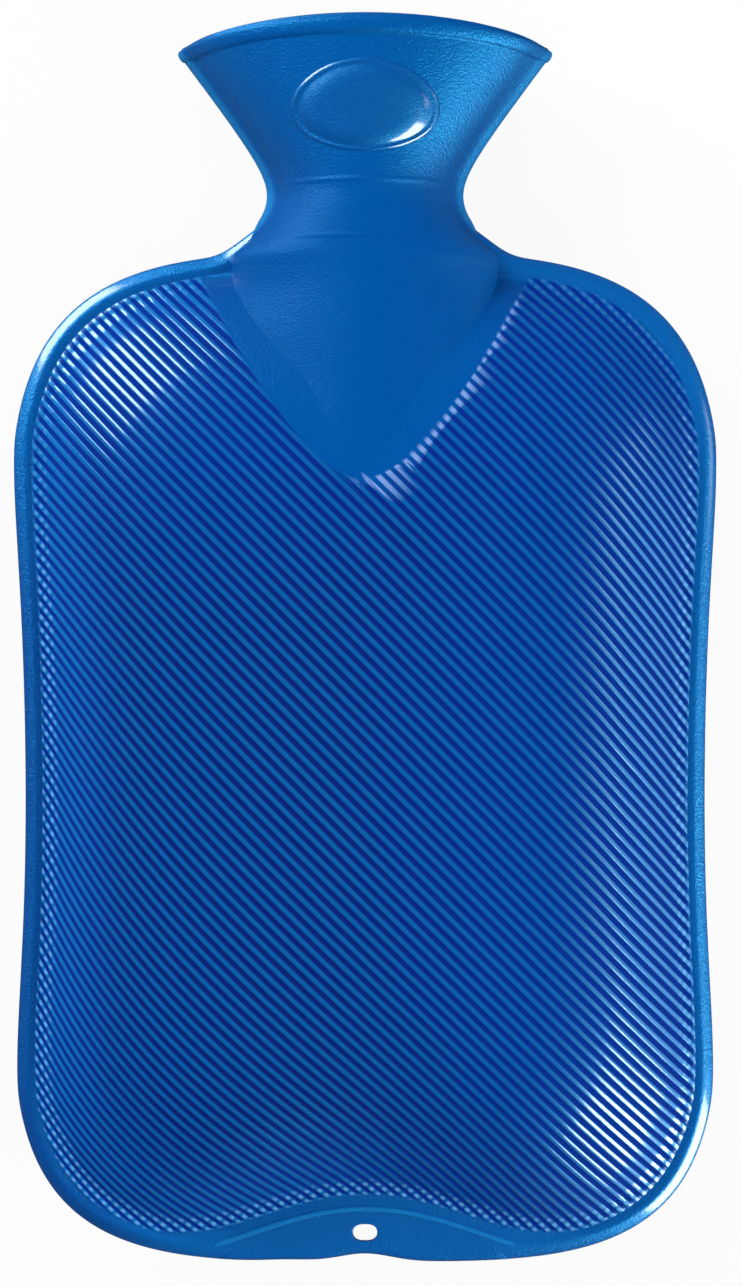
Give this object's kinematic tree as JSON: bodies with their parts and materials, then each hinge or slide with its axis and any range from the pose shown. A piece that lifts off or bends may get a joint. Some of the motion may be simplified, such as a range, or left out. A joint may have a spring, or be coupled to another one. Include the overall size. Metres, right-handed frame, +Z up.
{
  "type": "hot water bottle",
  "caption": "Flat blue hot water bottle with diagonal ribs, a waisted body, a flared funnel neck, a screw stopper inside the funnel and a hanging hole in the foot.",
  "frame": {"origin": "middle of the bottle's outline, on the surface it lies on", "axes": "+Y along the bottle's length towards the mouth of the funnel, +Z up through its thickness to the face that looks up, +X to the right across its width"},
  "size_m": [0.1914, 0.3356, 0.0638],
  "materials": {
    "bottle_blue": "soft glossy translucent plastic, deep blue",
    "insert_blue": "hard moulded plastic, dark blue",
    "washer_grey": "soft rubber, light grey",
    "stopper_blue": "hard moulded plastic, blue"
  },
  "bodies": {
    "body": {"bottle": "bottle_blue", "neck_insert": "insert_blue"},
    "washer": {"seal_washer": "washer_grey"},
    "plug": {"stopper": "stopper_blue"}
  },
  "joints": [
    {"name": "stopper_lift", "type": "slide", "parent": "body", "child": "washer", "axis": [0, 1, 0], "range_m": [0, 0.07]},
    {"name": "stopper_turn", "type": "hinge", "parent": "washer", "child": "plug", "pos_m": [0, 0.13, 0.032], "axis": [0, 1, 0], "range_deg": [0, 5040]}
  ],
  "couplings": [
    {"joint": "stopper_lift", "follows": "stopper_turn", "m_per_rad": 0.00079577}
  ]
}
